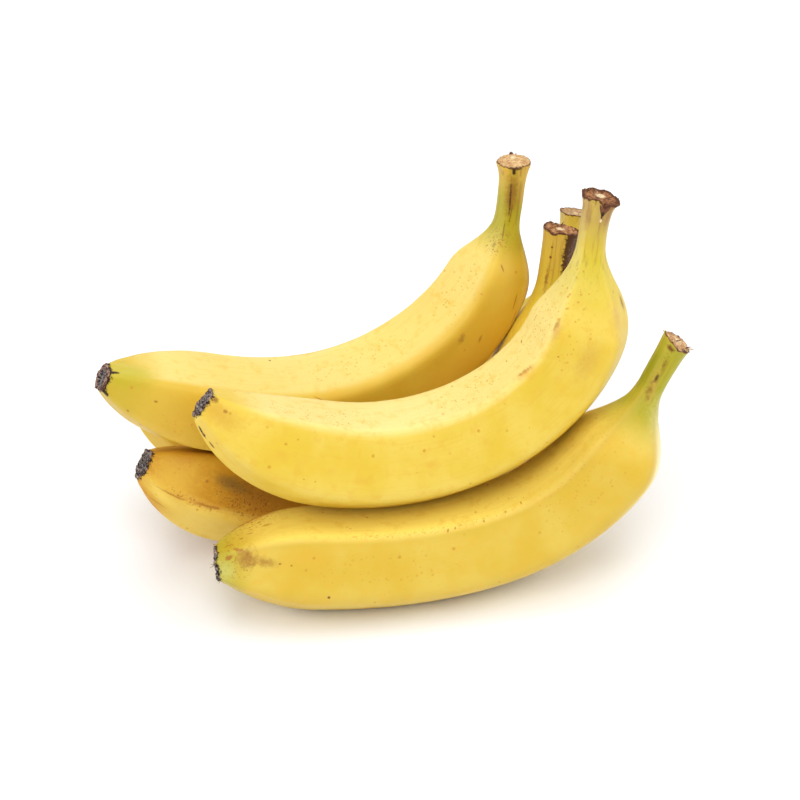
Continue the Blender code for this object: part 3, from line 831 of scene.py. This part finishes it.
# The front fruit of the lower layer, which lies on the table. It is the greenest: its
# stem is green to the cut, and its bruised nose ends in a ragged dark edge.
front_bottom = SimpleNamespace(
    name="front_bottom", middle=(0.0361, -0.0431, 0.0217), yaw=11, lean=14, roll=3,
    length=0.2080, radius=0.0187, bend=(-1, -8, 0, 12, 36, 60.5, 57),
    tip=0.0060, nose=0.038, neck=0.0355, neck_run=0.038, stem=0.0050, taper=-0.02,
    flare=(0.14, 0.0045), collar=0.05, seed=23, sharp=11, wax=0.4,
    tip_tilt=(-0.05, 60), scar_ring=0.2, scar_rough=1.1, dome=0.3, cut_rough=1.4,
    lips=((-20, 12, 0.0003, 0.0010), (165, 40, 0.0002, -0.0010), (95, 50, 0.0005, -0.0022),
          (-90, 50, 0.0, 0.0008)),
    frills=((-15, 16, 0.0004, 0.0002), (25, 12, 0.0005, 0.0006), (60, 14, 0.0008, -0.0008),
            (100, 16, 0.0014, 0.0003), (135, 12, 0.0009, 0.0)),
    strands=((208.0, -35, 5.4, 1.0, 0.0, 0.6, 1.5, 0.34, 1), (207.4, 120, 4.6, 0.8, 0.2, 1.0, 2.8, 0.34, 1),
             (207.4, 150, 5.0, 1.0, -0.2, 0.7, 2.4, 0.30, 1), (206.6, 100, 5.6, 0.2, 0.9, 0.3, 3.6, 0.40, 1),
             (208.2, 60, 4.0, 0.3, 0.8, 1.0, 2.4, 0.25, 1), (208.2, 20, 4.0, 0.2, -0.8, 1.0, 2.0, 0.2, 1),
             (0.0, -12, 7.0, 0.7, 0.2, -1.0, 1.8, 0.28, 1), (0.0, 20, 6.2, 0.3, 0.5, -1.0, 1.8, 0.20, 1),
             (-0.4, 62, 6.0, 0.2, 0.6, -1.0, 3.2, 0.16, 1), (-0.4, 70, 6.0, 0.2, -0.5, -1.0, 3.0, 0.16, 1),
             (0.0, 100, 6.6, 0.5, 0.0, -1.0, 1.4, 0.25, 1), (0.4, 128, 6.8, 0.9, 0.2, -0.3, 1.2, 0.2, 1)),
    # A darker crest on the ridges: painted shade that dims the light along them.
    pale=(0.73, 0.525, 0.080), deep=(0.69, 0.455, 0.040), crest=(0.64, 0.43, 0.05), painted_ridge_light=0.40,
    green=(0.34, 0.34, 0.012), green_tip=0.65, green_nose=0.014, green_stem=0.9, green_reach=0.006,
    stem_colour=(0.50, 0.42, 0.05), stem_brown=0.35, brown_reach=0.010, stem_streaks=0.25,
    freckles=0.20, dots=0.10, heart=(60, 1.0, 1.8), rim_band=0.0004, rim_share=0.90,
    # The top face painted paler: painted light against the shade of the fruit above.
    painted_light_face=(0, 41, 0.85, (0.90, 0.72, 0.14)),
    cut_pale=(0.72, 0.49, 0.26), cut_dark=(0.40, 0.20, 0.08), cut_rim=(0.16, 0.06, 0.03),
    fibre=((0.09, 0.045, 0.03), (0.60, 0.40, 0.21)),
    peppered=((RUST, 0.85, 13, -22, 14.0, 5.0, "specks"), (RUST, 0.60, 6, 55, 9.0, 13.0, "specks"),
              (ORANGE, 0.70, 80, 40, 60.0, 2.0, "specks"), (AMBER, 0.80, 150, 60, 40.0, 14.0, "pores"),
              (AMBER, 0.70, 60, 80, 40.0, 12.0, "pores")),
    marks=(((0.18, 0.23, 0.008), 0.80, 195, 20, 14.0, 4.4, 0, 1.0, 0.6),
           ((0.58, 0.55, 0.14), 0.75, 2, 86, 6.0, 6.5, 0, 1.0, 1.0),
           ((0.38, 0.19, 0.030), 0.95, 9.8, 58, 5.0, 5.4, 0, 1.0, 1.6),
           ((0.42, 0.21, 0.030), 0.85, 15.5, 65, 7.0, 2.8, 8, 1.0, 1.6),
           (GOLD, 0.60, 30, 62, 16.0, 5.0, 0, 1.0, 0.8),
           # Painted shade: a darker streak along the front ridge that dims its highlight.
           ((0.60, 0.40, 0.045), 0.60, 150, 38, 75.0, 5.0, 0, 1.0, 0.3),
           (RUST, 0.90, 10, -38, 9.0, 1.3, 0, 0.7, 2.6),
           (ORANGE, 0.85, 17, -36, 8.0, 2.0, 0, 0.9, 2.4),
           (RUST, 0.75, 7, 40, 2.2, 0.7, 30, 0.5, 1.4),
           (RUST, 0.85, 4, 52, 1.5, 1.1, 0, 0.5, 1.2),
           (RUST, 0.60, 5, 18, 2.0, 0.7, 20, 0.5, 1.4),
           (RUST, 0.85, 9, 12, 0.7, 0.6, 0, 0.5, 0.4),
           (RUST, 0.60, 12, 5, 1.6, 0.5, 20, 0.5, 1.0),
           (ORANGE, 0.85, 18, -5, 2.4, 1.2, 0, 0.9, 0.9),
           (RUST, 0.85, 21, 68, 0.7, 0.5, 0, 0.6, 0.3),
           (RUST, 0.85, 25, 70, 0.5, 0.5, 0, 0.6, 0.3),
           (BROWN, 0.95, 39, 106, 0.7, 0.6, 0, 0.5, 0.3),
           (RUST, 0.80, 85, 43, 0.5, 1.1, 20, 0.6, 0.8),
           (RUST, 0.80, 88, 42, 0.4, 0.9, 20, 0.6, 0.8),
           (RUST, 0.80, 100, 42, 0.5, 0.8, 0, 0.6, 0.8),
           (RUST, 0.85, 118, 37, 0.5, 1.1, 0, 0.6, 1.0),
           (RUST, 0.75, 110, 40, 0.6, 0.5, 0, 0.6, 0.8),
           # Painted light: the outer side painted pale, a painted rim light.
           ((0.95, 0.83, 0.42), 0.90, 164, 156, 30.0, 12.0, 0, 1.0, 0.5),
           (TAN, 0.50, 190, 70, 12.0, 2.6, -12, 1.0, 1.6),
           (BROWN, 0.65, 199, 68, 5.4, 1.2, -8, 1.0, 2.6),
           (BROWN, 0.65, 188, 63, 5.6, 1.5, -12, 1.0, 3.0),
           ((0.07, 0.03, 0.015), 0.90, 193, 68, 2.4, 1.1, -12, 0.9, 2.0),
           (BROWN, 0.95, 205.4, 58, 1.8, 2.0, 0, 0.7, 1.4)))
set_fruit(front_bottom)


# The middle fruit of the lower layer, the ripest: orange, with painted shade where the others shade it,
# creased and freckled brown along its flank, its torn stem dark down one side.
middle_bottom = SimpleNamespace(
    name="middle_bottom", middle=(0.0122, -0.0026, 0.0192), yaw=17, lean=14, roll=-12,
    length=0.2320, radius=0.0172, bend=(-39, -22, -6, 15, 47, 75, 78),
    tip=0.0056, nose=0.034, neck=0.036, neck_run=0.040, stem=0.0063, taper=0.09,
    flare=(0.18, 0.0030), collar=0.05, seed=37, sharp=11, wax=0.15,
    tip_tilt=(0.08, 240), scar_ring=0.3, scar_rough=1.3, dome=0.2, cut_rough=1.2,
    lips=((-60, 18, 0.0002, 0.0008), (20, 14, 0.0003, 0.0004), (150, 30, 0.0006, -0.0008),
          (60, 14, 0.0002, -0.0012)),
    frills=((100, 14, 0.0005, 0.0004), (10, 14, 0.0004, 0.0)),
    strands=((232.4, -60, 5.4, 0.4, 0.4, 1.0, 2.0, 0.28, 1), (232.4, -100, 5.0, 0.2, -0.4, 1.0, 1.8, 0.25, 1),
             (232.4, -20, 5.6, 0.7, 0.3, 0.9, 1.4, 0.2, 1), (232.3, 10, 6.2, 1.0, 0.3, 0.5, 1.3, 0.2, 1),
             (232.4, -80, 3.0, 0.1, 0.8, 1.0, 1.6, 0.3, 1), (232.0, 130, 6.4, 0.8, 0.3, 0.6, 1.4, 0.3, 1),
             (0.0, 100, 5.6, 0.5, 0.2, -1.0, 1.4, 0.25, 1), (0.0, 120, 5.4, 0.7, 0.0, -1.0, 1.1, 0.2, 1)),
    # A paler crest on the ridges: a painted highlight.
    pale=(0.63, 0.335, 0.025), deep=(0.56, 0.26, 0.012), crest=(0.72, 0.45, 0.05), painted_ridge_light=0.3,
    green=(0.56, 0.46, 0.015), green_tip=0.0, green_nose=0.03, green_stem=0.75, green_reach=0.012,
    stem_colour=(0.60, 0.39, 0.065), stem_brown=0.90, brown_reach=0.034, stem_streaks=0.40,
    freckles=0.30, dots=0.25, heart=(70, 1.0, 2.0), rim_band=0.0006, rim_share=0.84,
    # Its outer face painted paler: painted light.
    painted_light_face=(146, 41, 0.88, (0.82, 0.59, 0.11)),
    cut_pale=(0.54, 0.27, 0.11), cut_dark=(0.19, 0.070, 0.022), cut_rim=(0.09, 0.03, 0.015),
    fibre=(DARK, (0.34, 0.19, 0.10)),
    peppered=(((0.26, 0.095, 0.015), 0.85, 36, 84, 15.0, 9.0, "specks"),
              ((0.26, 0.095, 0.015), 0.75, 44, 100, 14.0, 7.0, "specks"),
              (RUST, 0.85, 18, 108, 14.0, 2.4, "specks"), (ORANGE, 0.80, 14, 60, 12.0, 7.0, "pores"),
              (ORANGE, 0.80, 12, 10, 12.0, 10.0, "pores"), (RUST, 0.70, 212, 62, 12.0, 2.4, "specks"),
              ((0.26, 0.12, 0.05), 0.80, 220, 146, 22.0, 5.0, "specks")),
    # Painted shade: orange-brown where the fruit above and in front shade the flank.
    marks=(((0.42, 0.19, 0.02), 0.85, 44, 78, 22.0, 13.0, 0, 1.0, 0.5),
           ((0.78, 0.57, 0.06), 0.95, 186, -20, 34.0, 24.0, 0, 0.8, 0.4),
           ((0.74, 0.47, 0.05), 0.70, 9, 90, 13.0, 16.0, 0, 1.0, 0.6),
           (ORANGE, 0.50, 12, 40, 9.0, 6.0, 0, 1.0, 0.8),
           ((0.84, 0.62, 0.11), 0.80, 9, 134, 12.0, 6.5, 0, 1.0, 0.6),
           (ORANGE, 0.55, 20, 107, 16.0, 2.2, -8, 1.0, 1.2),
           (RUST, 0.75, 11, 115, 6.8, 0.7, -11, 0.8, 1.4),
           (RUST, 0.80, 24, 106, 7.0, 0.8, -7, 0.8, 1.7),
           # A grey-green stain, darkened and spread further as painted shade along the shadow of the fruit
           # above.
           ((0.20, 0.13, 0.035), 0.75, 31, 70, 12.0, 4.4, 9, 1.0, 0.9),
           (BROWN, 0.80, 10, -26, 1.0, 0.6, 0, 0.6, 0.6),
           (RUST, 0.75, 10, 160, 4.2, 0.3, -22, 0.5, 0.6),
           (RUST, 0.75, 10, 175, 4.2, 0.3, -8, 0.5, 0.6),
           (RUST, 0.80, 21, 75, 0.9, 0.8, 0, 0.6, 0.4),
           (BROWN, 0.95, 226, 59, 0.6, 0.6, 0, 0.5, 0.3),
           (BROWN, 0.95, 222, 59, 0.8, 0.7, 0, 0.5, 0.5),
           (BROWN, 0.70, 214, 55, 5.0, 0.8, 0, 0.9, 1.6),
           ((0.060, 0.021, 0.008), 0.97, 226, 143, 30.0, 5.2, 0, 0.2, 0.9)))
set_fruit(middle_bottom)


# The back fruit of the lower layer, almost hidden by the rest, cut clean like the one
# that lies on it.
back_bottom = SimpleNamespace(
    name="back_bottom", middle=(0.0061, 0.0348, 0.0166), yaw=20, lean=11, roll=0,
    length=0.2295, radius=0.0165, bend=(-51, -19, -9, 4, 36, 61, 77),
    tip=0.0053, nose=0.051, neck=0.045, neck_run=0.036, stem=0.0049, taper=0.08,
    flare=(0.30, 0.0030), collar=0.05, seed=41, sharp=11, wax=0.4,
    tip_tilt=(0.1, 60), scar_ring=0.6, scar_rough=1.1, dome=-0.2, cut_rough=0.6,
    lips=((80, 40, 0.0003, 0.0004),), frills=((60, 14, 0.0003, 0.0),), strands=(),
    # A paler crest on the ridges: a painted highlight.
    pale=(0.76, 0.53, 0.065), deep=(0.72, 0.46, 0.028), crest=(0.80, 0.60, 0.12), painted_ridge_light=0.2,
    green=(0.50, 0.43, 0.015), green_tip=0.2, green_nose=0.03, green_stem=0.5, green_reach=0.008,
    stem_colour=(0.62, 0.43, 0.07), stem_brown=0.7, brown_reach=0.020, stem_streaks=0.25,
    freckles=0.25, dots=0.15, heart=(60, 0.3, 1.0), rim_band=0.0006, rim_share=0.88,
    # The face towards the lamps painted paler: painted light.
    painted_light_face=(0, 38, 0.5, (0.84, 0.67, 0.19)),
    cut_pale=(0.62, 0.41, 0.20), cut_dark=(0.34, 0.18, 0.08), cut_rim=(0.10, 0.035, 0.015),
    peppered=((ORANGE, 0.70, 150, 180, 50.0, 20.0, "pores"), (RUST, 0.70, 195, 200, 12.0, 12.0, "pores")),
    marks=((GOLD, 0.60, 60, 150, 12.0, 5.0, 0, 1.0, 1.2),
           (RUST, 0.60, 120, 200, 6.0, 1.2, 10, 0.9, 1.6),
           (BROWN, 0.60, 212, 200, 9.0, 0.6, 0, 0.6, 1.3)))
set_fruit(back_bottom)
